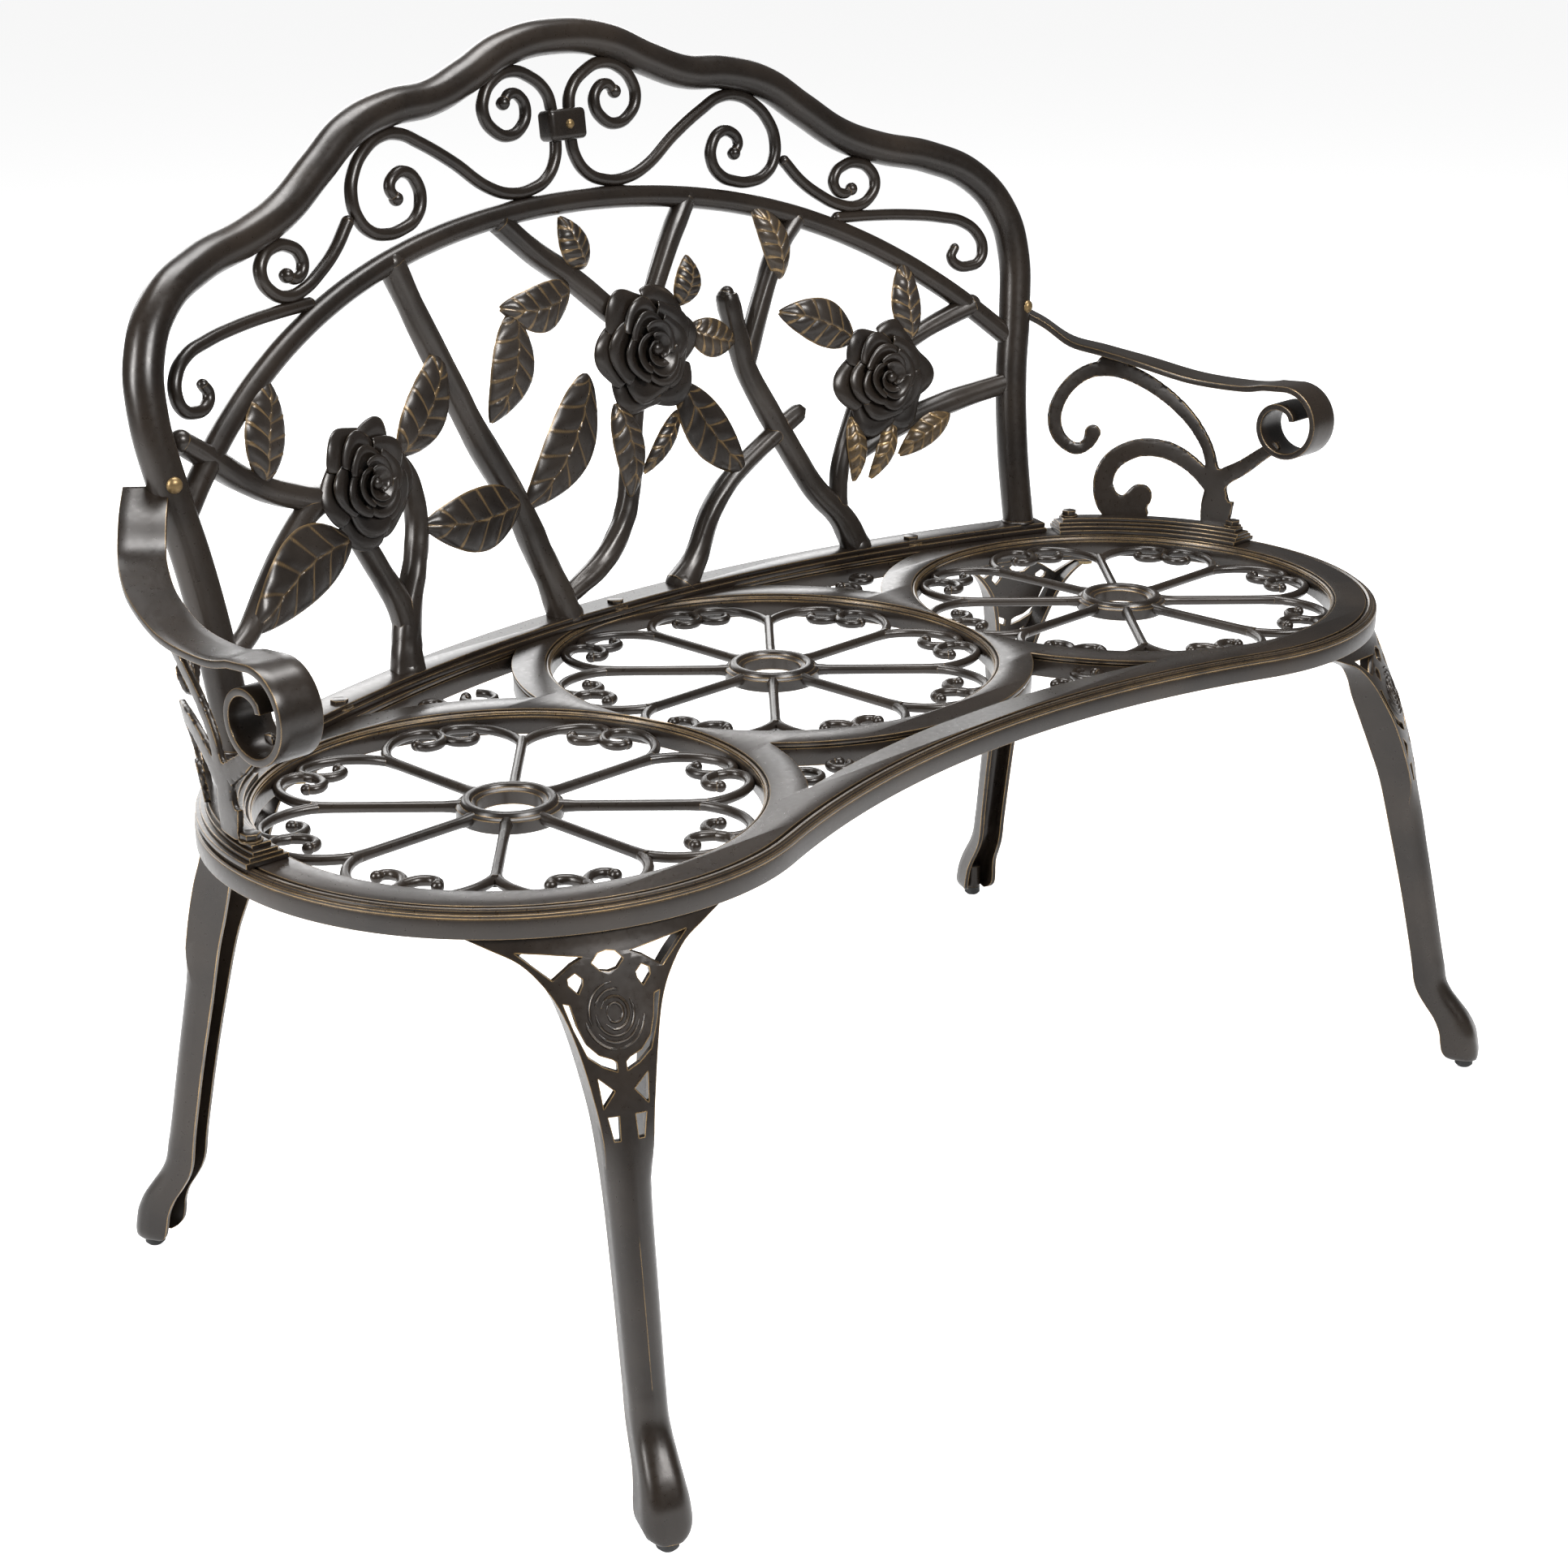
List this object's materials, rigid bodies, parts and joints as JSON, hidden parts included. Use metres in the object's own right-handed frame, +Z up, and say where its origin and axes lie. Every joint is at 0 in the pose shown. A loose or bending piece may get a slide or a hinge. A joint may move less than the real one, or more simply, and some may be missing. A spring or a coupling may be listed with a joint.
{
  "type": "garden bench",
  "caption": "Two-seat cast metal garden bench with round pierced seat grilles, a rose-branch scrollwork back in a scalloped tube, rolled arms and splayed cabriole legs.",
  "frame": {"origin": "middle of the footprint of the whole bench, on the floor", "axes": "+X along the bench, to the right as seen from in front; -Y towards the front; +Z up"},
  "size_m": [1.0588, 0.5934, 0.81],
  "materials": {
    "cast_bronze": "antique bronze coat, satin, rubbed gold edges",
    "zinc_fixings": "yellow zinc plate, dulled",
    "gold_rivet": "rubbed gold, satin",
    "glide_plastic": "black moulded plastic"
  },
  "bodies": {
    "bench": {"seat_frame": "cast_bronze", "hub_left": "cast_bronze", "hub_middle": "cast_bronze", "hub_right": "cast_bronze", "spokes_left": "cast_bronze", "spokes_middle": "cast_bronze", "spokes_right": "cast_bronze", "curls_left": "cast_bronze", "curls_middle": "cast_bronze", "curls_right": "cast_bronze", "front_spandrel_scrolls": "cast_bronze", "rear_spandrel_scrolls": "cast_bronze", "back_rail": "cast_bronze", "back_tube": "cast_bronze", "back_arch": "cast_bronze", "crest_curl_left": "cast_bronze", "crest_curl_right": "cast_bronze", "scroll_rod_left": "cast_bronze", "scroll_rod_right": "cast_bronze", "small_scroll_left": "cast_bronze", "small_scroll_right": "cast_bronze", "hook_rod_left": "cast_bronze", "hook_rod_right": "cast_bronze", "collar": "cast_bronze", "collar_rivet": "gold_rivet", "branches_left": "cast_bronze", "branches_middle": "cast_bronze", "branches_right": "cast_bronze", "rose_left": "cast_bronze", "rose_middle": "cast_bronze", "rose_right": "cast_bronze", "leaves_left": "cast_bronze", "leaves_middle": "cast_bronze", "leaves_right": "cast_bronze", "arm_bar_left": "cast_bronze", "arm_bar_right": "cast_bronze", "arm_bracket_left": "cast_bronze", "arm_bracket_right": "cast_bronze", "arm_base_left": "cast_bronze", "arm_base_right": "cast_bronze", "leg_front_left": "cast_bronze", "leg_front_right": "cast_bronze", "leg_rear_left": "cast_bronze", "leg_rear_right": "cast_bronze", "foot_sockets": "zinc_fixings", "rail_screws": "zinc_fixings", "rail_nuts": "zinc_fixings", "arm_base_screws": "zinc_fixings", "arm_base_nuts": "zinc_fixings", "arm_tube_screws": "zinc_fixings", "leg_bolts": "zinc_fixings"},
    "glide_front_left": {"glide_front_left": "glide_plastic"},
    "glide_front_right": {"glide_front_right": "glide_plastic"},
    "glide_rear_left": {"glide_rear_left": "glide_plastic"},
    "glide_rear_right": {"glide_rear_right": "glide_plastic"}
  },
  "joints": [
    {"name": "glide_front_left_height", "type": "slide", "parent": "bench", "child": "glide_front_left", "axis": [0, 0, -1], "range_m": [0, 0.008]},
    {"name": "glide_front_right_height", "type": "slide", "parent": "bench", "child": "glide_front_right", "axis": [0, 0, -1], "range_m": [0, 0.008]},
    {"name": "glide_rear_left_height", "type": "slide", "parent": "bench", "child": "glide_rear_left", "axis": [0, 0, -1], "range_m": [0, 0.008]},
    {"name": "glide_rear_right_height", "type": "slide", "parent": "bench", "child": "glide_rear_right", "axis": [0, 0, -1], "range_m": [0, 0.008]}
  ]
}
